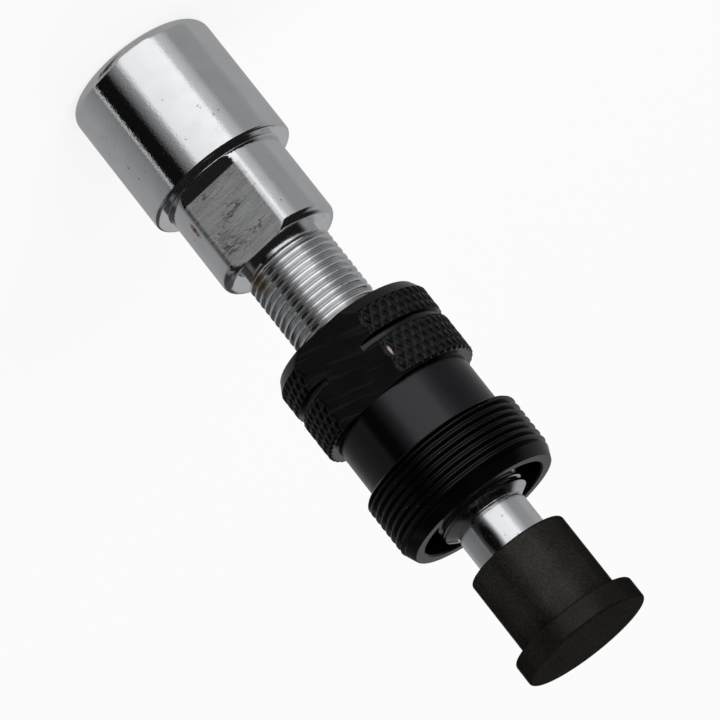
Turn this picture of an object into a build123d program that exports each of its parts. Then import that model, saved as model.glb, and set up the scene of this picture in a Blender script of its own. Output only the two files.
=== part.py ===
# Bicycle crank puller: a chromed screw spindle with a socket head, a black puller body that screws
# along it, and a pusher cap that swivels on the spindle's pin.
# The tool stands on its socket head: the rim is at z = 0 and +Z runs along the spindle to the cap.
# The wrench flats of the spindle and of the body face +Y and -Y.

import os

from build123d import *

os.makedirs("parts", exist_ok=True)

# Driving dimensions in millimetres

# Socket head of the spindle
head_diameter = 20.15
head_length = 18.35
head_rim_radius = 1.6
shoulder_edge_chamfer = 0.4
socket_across_flats = 14.1
socket_depth = 12.0
socket_lead_in = 0.7
socket_lead_in_overrun = 0.1

# Neck with two wrench flats
neck_diameter = 16.5
neck_root_chamfer = 0.3
neck_length = 12.15
neck_end_radius = 1.1
neck_across_flats = 13.8
flat_setback = 0.25
flat_runout_radius = 0.6
flat_cut_overrun = 0.8

# Screw thread of the spindle, drawn at its crest diameter
screw_diameter = 12.0
screw_length = 42.0
screw_relief_depth = 0.65
screw_relief_width = 1.0
screw_start_chamfer = 0.4
screw_end_chamfer = 0.8

# Pin that carries the cap
pin_diameter = 9.6
pin_length = 14.8
pin_undercut_depth = 0.25
pin_undercut_width = 0.45
pin_end_chamfer = 0.5

# Square-cut retaining ring in its groove on the pin
ring_section = 1.2
ring_edge_chamfer = 0.25
ring_from_pin_end = 4.5
ring_clearance = 0.05

# Puller body, from the collar to the mouth
body_stand_off = 13.25
collar_diameter = 21.75
collar_top_chamfer = 0.77
collar_top_chamfer_length = 1.5
upper_band_length = 3.25
groove_width = 1.1
groove_depth = 0.95
groove_corner_chamfer = 0.15
lower_band_length = 4.9
collar_foot_chamfer = 0.4
collar_across_flats = 19.0
waist_diameter = 18.9
waist_length = 7.65
crank_thread_diameter = 22.0
crank_thread_length = 6.9
crank_thread_start_chamfer = 0.3
lead_chamfer = 0.83
lead_chamfer_length = 1.9
mouth_diameter = 17.4
mouth_depth = 9.0
mouth_edge_chamfer = 0.2
screw_clearance = 0.05
screw_bore_chamfer = 0.8

# Pusher cap
cap_diameter = 13.6
cap_length = 11.0
cap_bore_depth = 9.5
cap_bore_clearance = 0.1
cap_bore_lead_in = 0.4
cap_seat_gap = 0.05
cap_edge_chamfer = 0.35
flange_diameter = 17.15
flange_thickness = 2.95
flange_edge_chamfer = 0.3

# How near an edge must be to a stated circle to count as that circle
edge_match = 0.001

# Derived places along the axis
neck_end = head_length + neck_length
screw_end = neck_end + screw_length
pin_end = screw_end + pin_length
ring_height = pin_end - ring_from_pin_end
collar_top = neck_end + body_stand_off
upper_band_start = collar_top + collar_top_chamfer_length
groove_start = upper_band_start + upper_band_length
lower_band_start = groove_start + groove_width
lower_band_end = lower_band_start + lower_band_length
collar_end = lower_band_end + collar_foot_chamfer
waist_end = collar_end + waist_length
crank_thread_end = waist_end + crank_thread_length
body_end = crank_thread_end + lead_chamfer_length
mouth_floor = body_end - mouth_depth
cap_floor = pin_end + cap_seat_gap
cap_start = cap_floor - cap_bore_depth
flange_start = cap_start + cap_length
cap_end = flange_start + flange_thickness

# Derived radii
head_radius = head_diameter / 2
neck_radius = neck_diameter / 2
screw_radius = screw_diameter / 2
pin_radius = pin_diameter / 2
collar_radius = collar_diameter / 2
groove_radius = collar_radius - groove_depth
waist_radius = waist_diameter / 2
crank_thread_radius = crank_thread_diameter / 2
mouth_radius = mouth_diameter / 2
screw_bore_radius = screw_radius + screw_clearance
cap_radius = cap_diameter / 2
cap_bore_radius = pin_radius + cap_bore_clearance
flange_radius = flange_diameter / 2
ring_outer_radius = cap_bore_radius - ring_clearance
ring_inner_radius = ring_outer_radius - ring_section
ring_groove_radius = ring_inner_radius - ring_clearance
ring_groove_half_width = ring_section / 2 + ring_clearance
socket_lead_in_end = socket_across_flats / 2 - socket_lead_in_overrun
socket_corner_radius = RegularPolygon(
    socket_across_flats / 2, side_count=6, major_radius=False, mode=Mode.PRIVATE
).bounding_box().max.X


def circles_at(edges, radius, height):
    """The circular edges of one radius at one height."""
    rings = edges.filter_by(GeomType.CIRCLE)
    return rings.filter_by(
        lambda edge: abs(edge.radius - radius) < edge_match and abs(edge.center().Z - height) < edge_match
    )


# Spindle: head, neck, screw and pin turned in one piece
with BuildPart() as spindle:
    with BuildSketch(Plane.XZ):
        with BuildLine():
            Polyline(
                (0, 0),
                (head_radius, 0),
                (head_radius, head_length),
                (neck_radius + neck_root_chamfer, head_length),
                (neck_radius, head_length + neck_root_chamfer),
                (neck_radius, neck_end),
                (screw_radius - screw_relief_depth, neck_end),
                (screw_radius - screw_relief_depth, neck_end + screw_relief_width),
                (screw_radius, neck_end + screw_relief_width),
                (screw_radius, screw_end),
                (pin_radius - pin_undercut_depth, screw_end),
                (pin_radius - pin_undercut_depth, screw_end + pin_undercut_width),
                (pin_radius, screw_end + pin_undercut_width),
                (pin_radius, ring_height - ring_groove_half_width),
                (ring_groove_radius, ring_height - ring_groove_half_width),
                (ring_groove_radius, ring_height + ring_groove_half_width),
                (pin_radius, ring_height + ring_groove_half_width),
                (pin_radius, pin_end),
                (0, pin_end),
                close=True,
            )
        make_face()
    revolve(axis=Axis.Z)
    fillet(circles_at(spindle.edges(), head_radius, 0), head_rim_radius)
    chamfer(circles_at(spindle.edges(), head_radius, head_length), shoulder_edge_chamfer)
    fillet(circles_at(spindle.edges(), neck_radius, neck_end), neck_end_radius)
    chamfer(circles_at(spindle.edges(), screw_radius, neck_end + screw_relief_width), screw_start_chamfer)
    chamfer(circles_at(spindle.edges(), screw_radius, screw_end), screw_end_chamfer)
    chamfer(circles_at(spindle.edges(), pin_radius, pin_end), pin_end_chamfer)

    # Two milled flats on the neck, open towards the screw, with a rounded run-out below the shoulder
    with BuildSketch(Plane.YZ) as flat_cut:
        with BuildLine():
            Polyline(
                (neck_across_flats / 2, neck_end),
                (neck_across_flats / 2, head_length + flat_setback),
                (neck_radius + flat_cut_overrun, head_length + flat_setback),
                (neck_radius + flat_cut_overrun, neck_end),
                close=True,
            )
        make_face()
        inner_corner = flat_cut.vertices().sort_by(Axis.X)[:2].sort_by(Axis.Y)[0]
        fillet(inner_corner, flat_runout_radius)
        mirror(about=Plane.YZ)
    extrude(amount=neck_radius, both=True, mode=Mode.SUBTRACT)

    # Hexagon socket in the head, with a turned lead-in at its mouth
    with BuildSketch(Plane.XY):
        RegularPolygon(socket_across_flats / 2, side_count=6, major_radius=False)
    extrude(amount=socket_depth, mode=Mode.SUBTRACT)
    with BuildSketch(Plane.XZ):
        with BuildLine():
            Polyline(
                (0, 0),
                (socket_corner_radius, 0),
                (socket_lead_in_end, socket_lead_in),
                (0, socket_lead_in),
                close=True,
            )
        make_face()
    revolve(axis=Axis.Z, mode=Mode.SUBTRACT)

spindle.part.label = "spindle"
export_step(spindle.part, "parts/spindle.step")


# Puller body: collar with two bands and a groove, waist, crank thread and hollow mouth
with BuildPart() as puller_body:
    with BuildSketch(Plane.XZ):
        with BuildLine():
            Polyline(
                (screw_bore_radius + screw_bore_chamfer, collar_top),
                (collar_radius - collar_top_chamfer, collar_top),
                (collar_radius, upper_band_start),
                (collar_radius, groove_start),
                (groove_radius + groove_corner_chamfer, groove_start),
                (groove_radius, groove_start + groove_corner_chamfer),
                (groove_radius, lower_band_start - groove_corner_chamfer),
                (groove_radius + groove_corner_chamfer, lower_band_start),
                (collar_radius, lower_band_start),
                (collar_radius, lower_band_end),
                (collar_radius - collar_foot_chamfer, collar_end),
                (waist_radius, collar_end),
                (waist_radius, waist_end),
                (crank_thread_radius - crank_thread_start_chamfer, waist_end),
                (crank_thread_radius, waist_end + crank_thread_start_chamfer),
                (crank_thread_radius, crank_thread_end),
                (crank_thread_radius - lead_chamfer, body_end),
                (mouth_radius + mouth_edge_chamfer, body_end),
                (mouth_radius, body_end - mouth_edge_chamfer),
                (mouth_radius, mouth_floor),
                (screw_bore_radius + screw_bore_chamfer, mouth_floor),
                (screw_bore_radius, mouth_floor - screw_bore_chamfer),
                (screw_bore_radius, collar_top + screw_bore_chamfer),
                close=True,
            )
        make_face()
    revolve(axis=Axis.Z)

    # Two milled flats across the collar
    with BuildSketch(Plane.YZ):
        with Locations((0, (collar_top + collar_end) / 2)):
            Rectangle(2 * collar_diameter, collar_end - collar_top)
            Rectangle(collar_across_flats, collar_end - collar_top, mode=Mode.SUBTRACT)
    extrude(amount=collar_radius, both=True, mode=Mode.SUBTRACT)

puller_body.part.label = "puller_body"
export_step(puller_body.part, "parts/puller_body.step")


# Pusher cap: a blind sleeve over the pin with a flat end flange
with BuildPart() as pusher_cap:
    with BuildSketch(Plane.XZ):
        with BuildLine():
            Polyline(
                (0, cap_floor),
                (cap_bore_radius, cap_floor),
                (cap_bore_radius, cap_start + cap_bore_lead_in),
                (cap_bore_radius + cap_bore_lead_in, cap_start),
                (cap_radius, cap_start),
                (cap_radius, flange_start),
                (flange_radius, flange_start),
                (flange_radius, cap_end),
                (0, cap_end),
                close=True,
            )
        make_face()
    revolve(axis=Axis.Z)
    chamfer(circles_at(pusher_cap.edges(), cap_radius, cap_start), cap_edge_chamfer)
    chamfer(circles_at(pusher_cap.edges(), flange_radius, flange_start), flange_edge_chamfer)
    chamfer(circles_at(pusher_cap.edges(), flange_radius, cap_end), flange_edge_chamfer)

pusher_cap.part.label = "pusher_cap"
export_step(pusher_cap.part, "parts/pusher_cap.step")


# Square-cut rubber ring in the pin's groove, which keeps the cap from dropping off
with BuildPart() as retaining_ring:
    with BuildSketch(Plane.XY.offset(ring_height)):
        Circle(ring_outer_radius)
        Circle(ring_inner_radius, mode=Mode.SUBTRACT)
    extrude(amount=ring_section / 2, both=True)
    chamfer(retaining_ring.edges().filter_by(GeomType.CIRCLE), ring_edge_chamfer)

retaining_ring.part.label = "retaining_ring"
export_step(retaining_ring.part, "parts/retaining_ring.step")
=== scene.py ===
import math

import bpy
import numpy as np
from mathutils import Matrix, Vector


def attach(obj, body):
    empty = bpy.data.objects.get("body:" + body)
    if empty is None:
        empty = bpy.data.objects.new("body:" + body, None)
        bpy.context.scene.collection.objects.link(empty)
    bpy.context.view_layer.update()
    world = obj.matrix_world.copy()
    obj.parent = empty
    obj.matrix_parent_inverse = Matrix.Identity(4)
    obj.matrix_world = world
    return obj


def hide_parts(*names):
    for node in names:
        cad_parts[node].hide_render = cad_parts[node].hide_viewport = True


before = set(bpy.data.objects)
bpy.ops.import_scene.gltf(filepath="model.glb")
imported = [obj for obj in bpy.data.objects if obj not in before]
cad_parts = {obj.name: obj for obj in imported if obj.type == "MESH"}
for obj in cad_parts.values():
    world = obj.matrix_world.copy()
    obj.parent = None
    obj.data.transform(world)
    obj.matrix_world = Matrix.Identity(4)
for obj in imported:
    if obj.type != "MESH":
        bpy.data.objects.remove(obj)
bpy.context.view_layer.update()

# Shapes are worked out in millimetres, in the frame of the solids, and become metres in the meshes.
MM = 0.001
TURN = 2 * math.pi

# Camera and image
CAMERA_AZIMUTH = math.radians(-14.5)
CAMERA_ELEVATION = math.radians(15.9)
CAMERA_DISTANCE = 600.0
CAMERA_ROLL = math.radians(141.8)
IMAGE_PIXELS = 720
FOCAL_PIXELS = 4957
SENSOR_WIDTH = 36.0
CLIP_START = 0.01
CLIP_END = 50.0
TARGET_HEIGHT = 47.18
TARGET_RIGHT = 0.6

# Both threads have a pitch of 1 mm. A pitch runs from one root (0) over the crest (0.5) to the next root.
# The rows of a skin follow the phases. The crest's half width, and the place where a flank meets the root,
# are shares of the pitch, counted from the middle of the crest.
THREAD_PITCH = 1.0
THREAD_FLANK_END = 0.44
SCREW_TURNS = 40
SCREW_THREAD_DEPTH = 0.45
SCREW_THREAD_CREST = 0.12
SCREW_THREAD_PHASES = (0.0, 0.09, 0.18, 0.27, 0.37, 0.63, 0.73, 0.82, 0.91)
CRANK_TURNS = 8
CRANK_THREAD_DEPTH = 0.60
CRANK_THREAD_CREST = 0.07
CRANK_THREAD_PHASES = (0.0, 0.10, 0.25, 0.42, 0.58, 0.75, 0.90)

# Socket head of the spindle. The socket's floor has a shallow drill point.
HEAD_RADIUS = 10.075
HEAD_LENGTH = 18.35
HEAD_RIM_RADIUS = 1.6
SHOULDER_EDGE_RADIUS = 0.4
SOCKET_HALF_FLATS = 7.05
SOCKET_DEPTH = 12.0
SOCKET_LEAD_IN = 0.65
DRILL_POINT_DEPTH = 0.6
DRILL_POINT_MID_DEPTH = 0.25
DRILL_POINT_MID_RADIUS = 1.2

# Neck with two flats
NECK_RADIUS = 8.25
NECK_LENGTH = 12.15
NECK_ROOT_RADIUS = 0.24
NECK_END_RADIUS = 1.1
NECK_HALF_FLATS = 6.9
NECK_FLAT_SETBACK = 0.25
NECK_FLAT_RUNOUT = 0.6
NECK_WALL_STEP = 0.005
NECK_RAMP_LENGTH = 1.5
NECK_RAMP_SLOPE = math.tan(math.radians(15))
NECK_FLAT_START = HEAD_LENGTH + NECK_FLAT_SETBACK
NECK_RAMP_END = NECK_FLAT_START + NECK_RAMP_LENGTH
NECK_END = HEAD_LENGTH + NECK_LENGTH

# Pin at the end of the spindle, and the ring in its groove
PIN_RADIUS = 4.8
PIN_LENGTH = 14.8
PIN_UNDERCUT_RADIUS = 4.55
PIN_UNDERCUT_WIDTH = 0.45
PIN_END_RADIUS = 0.5
RING_SECTION = 1.2
RING_OUTER_RADIUS = 4.85
RING_EDGE_RADIUS = 0.28
RING_CLEARANCE = 0.05
RING_FROM_PIN_END = 4.5

# Screw between the neck and the pin
SCREW_RADIUS = 6.0
SCREW_LENGTH = 42.0
SCREW_RELIEF_RADIUS = 5.35
SCREW_RELIEF_WIDTH = 1.0
SCREW_START_STEP = 0.15
SCREW_THREAD_LEAD = 0.25
SCREW_CONE_RADIUS = PIN_RADIUS
SCREW_RELIEF_END = NECK_END + SCREW_RELIEF_WIDTH
SCREW_THREAD_START = SCREW_RELIEF_END + SCREW_THREAD_LEAD
SCREW_CONE_START = SCREW_THREAD_START + SCREW_TURNS * THREAD_PITCH
SCREW_END = NECK_END + SCREW_LENGTH

PIN_UNDERCUT_END = SCREW_END + PIN_UNDERCUT_WIDTH
PIN_END = SCREW_END + PIN_LENGTH
RING_HEIGHT = PIN_END - RING_FROM_PIN_END
RING_INNER_RADIUS = RING_OUTER_RADIUS - RING_SECTION
RING_GROOVE_RADIUS = RING_INNER_RADIUS - RING_CLEARANCE
RING_GROOVE_HALF_WIDTH = RING_SECTION / 2 + RING_CLEARANCE

# Puller body: collar, waist, crank thread and mouth
BODY_STAND_OFF = 13.25
COLLAR_RADIUS = 10.875
COLLAR_TOP_RADIUS = 10.105
COLLAR_TOP_BEVEL = 0.08
COLLAR_CHAMFER_LENGTH = 1.5
COLLAR_FOOT_RADIUS = 0.4
COLLAR_HALF_FLATS = 9.5
UPPER_BAND_LENGTH = 3.25
LOWER_BAND_LENGTH = 4.9
GROOVE_WIDTH = 1.1
GROOVE_DEPTH = 0.95
GROOVE_ROOT_RADIUS = 0.3
GROOVE_WALL_LEAN = 0.04
WAIST_RADIUS = 9.45
WAIST_LENGTH = 7.65
CRANK_THREAD_RADIUS = 11.0
CRANK_THREAD_START_CHAMFER = 0.3
LEAD_CHAMFER_FROM_WAIST = 6.9
LEAD_CHAMFER_LENGTH = 1.9
LEAD_FIRST_ROW = 0.15
RIM_RADIUS = 10.17
RIM_EDGE_RADIUS = 0.1
MOUTH_RADIUS = 8.7
MOUTH_DEPTH = 9.0
MOUTH_EDGE_CHAMFER = 0.2
SCREW_BORE_RADIUS = 6.05
SCREW_BORE_CHAMFER = 0.8
COLLAR_TOP = NECK_END + BODY_STAND_OFF
UPPER_BAND_START = COLLAR_TOP + COLLAR_CHAMFER_LENGTH
UPPER_BAND_END = UPPER_BAND_START + UPPER_BAND_LENGTH
LOWER_BAND_START = UPPER_BAND_END + GROOVE_WIDTH
LOWER_BAND_END = LOWER_BAND_START + LOWER_BAND_LENGTH
COLLAR_END = LOWER_BAND_END + COLLAR_FOOT_RADIUS
WAIST_END = COLLAR_END + WAIST_LENGTH
CRANK_THREAD_END = WAIST_END + CRANK_TURNS * THREAD_PITCH
LEAD_CHAMFER_START = WAIST_END + LEAD_CHAMFER_FROM_WAIST
BODY_END = LEAD_CHAMFER_START + LEAD_CHAMFER_LENGTH
MOUTH_FLOOR = BODY_END - MOUTH_DEPTH

# Diamond knurl of the collar's bands: diamonds around, length of one, depth, half width of a groove as a
# share of the pitch, and the skin's columns and rows for one diamond
KNURL_COUNT = 52
KNURL_LENGTH = 2.33
KNURL_DEPTH = 0.25
KNURL_GROOVE = 0.34
KNURL_COLUMNS = 8
KNURL_ROWS = 16

# Pusher cap
CAP_RADIUS = 6.8
CAP_LENGTH = 11.0
CAP_EDGE_RADIUS = 0.35
CAP_BORE_RADIUS = 4.9
CAP_BORE_DEPTH = 9.5
CAP_BORE_LEAD_IN = 0.4
CAP_BORE_CORNER = 0.3
CAP_FLOOR_MID_RADIUS = 1.5
CAP_END_MID_RADIUS = 0.6
CAP_SEAT_GAP = 0.05
CAP_FILLET = 0.25
FLANGE_RADIUS = 8.575
FLANGE_THICKNESS = 2.95
FLANGE_EDGE_RADIUS = 0.3
CAP_FLOOR = PIN_END + CAP_SEAT_GAP
CAP_START = CAP_FLOOR - CAP_BORE_DEPTH
FLANGE_START = CAP_START + CAP_LENGTH
CAP_END = FLANGE_START + FLANGE_THICKNESS

# Columns of the skins around the axis
SPINDLE_COLUMNS = 160
CAP_COLUMNS = 160
RING_COLUMNS = 96

# Short steps from an edge to the row beside it, which keep the edge's bevel small
EDGE_HAIR = 0.01
EDGE_TINY = 0.02
EDGE_SLIM = 0.03
EDGE_SMALL = 0.04
EDGE_SHORT = 0.05
EDGE_WIDE = 0.1

# A straight line has a close row at this distance from each end, or nearer where the line is short.
CLOSE_ROW = 0.12

# Flats face +Y and -Y. Their distance is worked out with at least this sine, so that it stays finite.
LEAST_SINE = 0.05

# Finish marks in the meshes: ground flats of the neck, milled flats of the collar, worn thread crests.
# Wear starts where a crest lies the first of the two depths below the thread's radius, and is full at the
# second. A crest is where the thread's own depth is below the last value.
GROUND_MARK = 1.0
MILLED_MARK = 0.5
WORN_MARK = 1.0
WEAR_DEPTHS = (0.10, 0.02)
CREST_DEPTH = 0.03


def smooth(low, high, value):
    """0 below low, 1 above high, with a soft step between them."""
    share = np.clip((value - low) / (high - low), 0, 1)
    return share * share * (3 - 2 * share)


def run(start, end, step):
    """Points (radius, height) along a straight line. A close row at each end keeps its shading flat."""
    start = np.array(start, float)
    end = np.array(end, float)
    length = float(np.linalg.norm(end - start))
    count = max(1, round(length / step))
    shares = list(np.linspace(0, 1, count + 1))
    hold = min(CLOSE_ROW, length / 4) / length
    shares = sorted(set(shares + [hold, 1 - hold]))
    return [tuple(start + share * (end - start)) for share in shares]


def arc(radius, height, bend, first, last, steps):
    """Points (radius, height) on an arc about a centre; its angles run from outwards (0) to +Z (90)."""
    angles = np.radians(np.linspace(first, last, steps + 1))
    return [(radius + bend * math.cos(a), height + bend * math.sin(a)) for a in angles]


class Shell:
    """A closed skin around the Z axis. Each new ring is joined to the one before it."""

    def __init__(self, angles):
        self.angles = np.asarray(angles, float)
        self.points = []
        self.faces = []
        self.marks = []
        self.grime_and_shade_values = []
        self.count = 0
        self.first = None
        self.last = None

    def flats(self, half_width):
        """Radius of the two flats at each angle, where they face +Y and -Y at half their width."""
        return half_width / np.maximum(np.abs(np.sin(self.angles)), LEAST_SINE)

    def store(self, points, mark, grime_and_shade):
        """Keeps the points with their finish mark and their grime with painted shade, from 0 to 1, and
        gives their numbers.
        """
        self.points.append(points)
        self.marks.append(np.broadcast_to(np.asarray(mark, float), (len(points),)))
        self.grime_and_shade_values.append(np.broadcast_to(np.asarray(grime_and_shade, float), (len(points),)))
        numbers = np.arange(self.count, self.count + len(points))
        self.count += len(points)
        return numbers

    def place(self, radius, height):
        """Points at each angle, with one radius and height or with one for each angle."""
        radius = np.broadcast_to(np.asarray(radius, float), self.angles.shape)
        height = np.broadcast_to(np.asarray(height, float), self.angles.shape)
        return np.column_stack((radius * np.cos(self.angles), radius * np.sin(self.angles), height))

    def ring(self, radius, height, mark=0.0, grime_and_shade=0.0):
        """A ring of one radius, or of one radius for each angle."""
        self.join(self.store(self.place(radius, height), mark, grime_and_shade))

    def pole(self, height):
        """A point on the axis, where the skin starts or ends."""
        self.join(self.store(np.array([[0.0, 0.0, height]]), 0.0, 0.0))

    def profile(self, points, mark=0.0, grime_and_shade=0.0):
        for radius, height in points:
            self.ring(radius, height, mark, grime_and_shade)

    def join(self, numbers):
        low, high = self.last, numbers
        self.last = numbers
        if low is None:
            self.first = numbers
            return
        if len(low) == 1:
            self.faces += [(low[0], b, a) for a, b in zip(high, np.roll(high, -1))]
        elif len(high) == 1:
            self.faces += [(a, b, high[0]) for a, b in zip(low, np.roll(low, -1))]
        else:
            self.faces += list(zip(low, np.roll(low, -1), np.roll(high, -1), high))

    def close(self):
        """Joins the last ring to the first one."""
        self.join(self.first)

    def thread(self, start, turns, radius, full_depth, crest_width, phases, limit, fade, crest_mark):
        """A right-handed thread of whole turns between two level rings. Its rows follow the helix.

        limit(height) is the largest radius there, for chamfers, fade(turns, turns_left) is the share
        of the depth, and crest_mark is the finish mark of the crests."""
        end = start + turns * THREAD_PITCH
        steps = len(phases)
        rows = (turns + 1) * steps
        columns = len(self.angles)
        sweep = (self.angles - self.angles[0]) / TURN
        numbers = np.zeros((rows + 1, columns + 1), int)
        for row in range(rows + 1):
            phase = phases[row % steps]
            place = row // steps + phase
            # The first and the last turn grow out of a level ring and shrink into one
            if place <= 1:
                height = start + THREAD_PITCH * place * sweep
            elif place >= turns:
                height = end - THREAD_PITCH * (1 - sweep) * (turns + 1 - place)
            else:
                height = start + THREAD_PITCH * (place - 1 + sweep)
            made = np.clip(place - 1 + sweep, 0, None)
            left = np.clip(turns + 1 - place - sweep, 0, None)
            from_crest = abs(phase - 0.5)
            depth = full_depth * smooth(crest_width, THREAD_FLANK_END, from_crest) * fade(made, left)
            if place < 0.5 or place > turns + 0.5:
                depth = np.zeros(columns)
            radii = np.minimum(radius - depth, limit(height))
            crest = crest_mark * smooth(*WEAR_DEPTHS, radius - radii) * (depth < CREST_DEPTH)
            # Grime with painted shade, darkest in the roots of the thread
            grime_and_shade = depth / full_depth
            points = self.place(radii, height)
            if row == 0:
                numbers[row, :columns] = self.store(points, crest, grime_and_shade)
                self.join(numbers[row, :columns])
            elif row <= steps:
                numbers[row, 0] = numbers[0, 0]
                numbers[row, 1:columns] = self.store(points[1:], crest[1:], grime_and_shade[1:])
            else:
                numbers[row, :columns] = self.store(points, crest, grime_and_shade)
        for row in range(rows + 1):
            numbers[row, columns] = numbers[min(row + steps, rows), 0]
        for row in range(rows):
            below, above = numbers[row], numbers[row + 1]
            for column in range(columns):
                corners = (below[column], below[column + 1], above[column + 1], above[column])
                corners = tuple(dict.fromkeys(corners))
                if len(corners) > 2:
                    self.faces.append(corners)
        self.last = numbers[rows, :columns]

    def piece(self, name, sharp_degrees):
        """The finished mesh object, with its marks as the attributes "mark" and "grime_and_shade", the
        second for grime with painted shade.
        """
        mesh = bpy.data.meshes.new(name)
        points = np.concatenate(self.points) * MM
        mesh.from_pydata(points.tolist(), [], [tuple(int(n) for n in face) for face in self.faces])
        mesh.polygons.foreach_set("use_smooth", [True] * len(mesh.polygons))
        for attribute, values in (("mark", self.marks), ("grime_and_shade", self.grime_and_shade_values)):
            data = mesh.attributes.new(attribute, "FLOAT", "POINT").data
            data.foreach_set("value", np.concatenate(values))
        mesh.set_sharp_from_angle(angle=math.radians(sharp_degrees))
        mesh.update()
        piece = bpy.data.objects.new(name, mesh)
        bpy.context.scene.collection.objects.link(piece)
        return piece


def even_angles(count, start=0.0):
    return start + np.arange(count) * TURN / count


def angles_with(breaks, count):
    """Angles over one turn that include the breaks, spread evenly between them. The breaks start at 0."""
    ends = list(breaks[1:]) + [TURN]
    angles = []
    for first, last in zip(breaks, ends):
        share = max(1, round(count * (last - first) / TURN))
        angles += list(first + np.arange(share) * (last - first) / share)
    return np.array(angles)


def build_spindle():
    flat_edge = math.acos(NECK_HALF_FLATS / NECK_RADIUS)
    flat_edges = [side + turn for side in (TURN / 4, 3 * TURN / 4) for turn in (-flat_edge, flat_edge)]
    corners = [corner * TURN / 6 for corner in range(6)]
    shell = Shell(angles_with(sorted(corners + flat_edges), SPINDLE_COLUMNS))
    add_head(shell)
    add_neck(shell)
    add_screw(shell)
    add_pin(shell)
    return shell.piece("spindle_look", sharp_degrees=38)


def add_head(shell):
    # Hexagon socket, from the drill point in its floor to the lead-in at the rim
    hexagon = SOCKET_HALF_FLATS / np.cos(np.mod(shell.angles, TURN / 6) - TURN / 12)
    corner_radius = SOCKET_HALF_FLATS / math.cos(TURN / 12)
    shell.pole(SOCKET_DEPTH + DRILL_POINT_DEPTH)
    shell.ring(DRILL_POINT_MID_RADIUS, SOCKET_DEPTH + DRILL_POINT_MID_DEPTH)
    for share in (0.45, 0.7, 0.97):
        shell.ring(hexagon * share, SOCKET_DEPTH)
    for height in np.linspace(SOCKET_DEPTH - 2 * EDGE_WIDE, SOCKET_LEAD_IN, 14):
        shell.ring(hexagon, height)
    slope = (corner_radius - SOCKET_HALF_FLATS) / SOCKET_LEAD_IN
    for height in np.linspace(SOCKET_LEAD_IN - EDGE_SHORT, 0.0, 6):
        shell.ring(np.maximum(hexagon, corner_radius - slope * height), height)

    # Rim, side and shoulder
    rim = HEAD_RADIUS - HEAD_RIM_RADIUS
    shell.profile(run((corner_radius + EDGE_SHORT, 0), (rim - EDGE_HAIR, 0), step=0.4))
    shell.profile(arc(rim, HEAD_RIM_RADIUS, HEAD_RIM_RADIUS, -90, 0, steps=8))
    side_end = HEAD_LENGTH - SHOULDER_EDGE_RADIUS
    shell.profile(run((HEAD_RADIUS, HEAD_RIM_RADIUS + EDGE_SHORT), (HEAD_RADIUS, side_end), step=0.8))
    shoulder = HEAD_RADIUS - SHOULDER_EDGE_RADIUS
    shell.profile(arc(shoulder, side_end, SHOULDER_EDGE_RADIUS, 12, 90, steps=5))
    root = NECK_RADIUS + NECK_ROOT_RADIUS
    shell.profile(run((shoulder - EDGE_TINY, HEAD_LENGTH), (root + EDGE_TINY, HEAD_LENGTH), step=0.2))
    shell.profile(arc(root, HEAD_LENGTH + NECK_ROOT_RADIUS, NECK_ROOT_RADIUS, 270, 190, steps=6))


def add_neck(shell):
    # Each flat starts at a level wall just above the shoulder, with a hollow and a shallow ramp after it
    runout_end = NECK_FLAT_START + NECK_FLAT_RUNOUT
    wall = NECK_HALF_FLATS + NECK_FLAT_RUNOUT + NECK_RAMP_SLOPE * NECK_RAMP_LENGTH
    shell.ring(NECK_RADIUS, NECK_FLAT_START - NECK_WALL_STEP)
    shell.ring(np.minimum(NECK_RADIUS, shell.flats(wall)), NECK_FLAT_START)
    bends = np.linspace(0.1, TURN / 4, 9)
    outline = [(NECK_RADIUS, runout_end - NECK_FLAT_RUNOUT * math.cos(bend)) for bend in bends]
    outline += run((NECK_RADIUS, runout_end + EDGE_WIDE), (NECK_RADIUS, NECK_RAMP_END), step=0.25)
    side_end = NECK_END - NECK_END_RADIUS
    outline += run((NECK_RADIUS, NECK_RAMP_END + EDGE_SMALL), (NECK_RADIUS, side_end - EDGE_WIDE), step=0.6)
    outline += arc(NECK_RADIUS - NECK_END_RADIUS, side_end, NECK_END_RADIUS, 0, 88, steps=6)
    full_flats = shell.flats(NECK_HALF_FLATS)
    for radius, height in outline:
        rise = max(0.0, runout_end - height)
        depth = NECK_FLAT_RUNOUT - math.sqrt(NECK_FLAT_RUNOUT**2 - rise**2)
        depth += NECK_RAMP_SLOPE * max(0.0, NECK_RAMP_END - height)
        ground = (full_flats < radius + EDGE_TINY) * (height > NECK_RAMP_END + EDGE_TINY)
        radii = np.minimum(radius, shell.flats(NECK_HALF_FLATS + depth))
        shell.ring(radii, height, GROUND_MARK * ground)
    end_radii = np.minimum(NECK_RADIUS - NECK_END_RADIUS, full_flats)
    for share in (0.98, 0.7, 0.35, 0.0):
        shell.ring(SCREW_RELIEF_RADIUS + share * (end_radii - SCREW_RELIEF_RADIUS), NECK_END)


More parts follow.
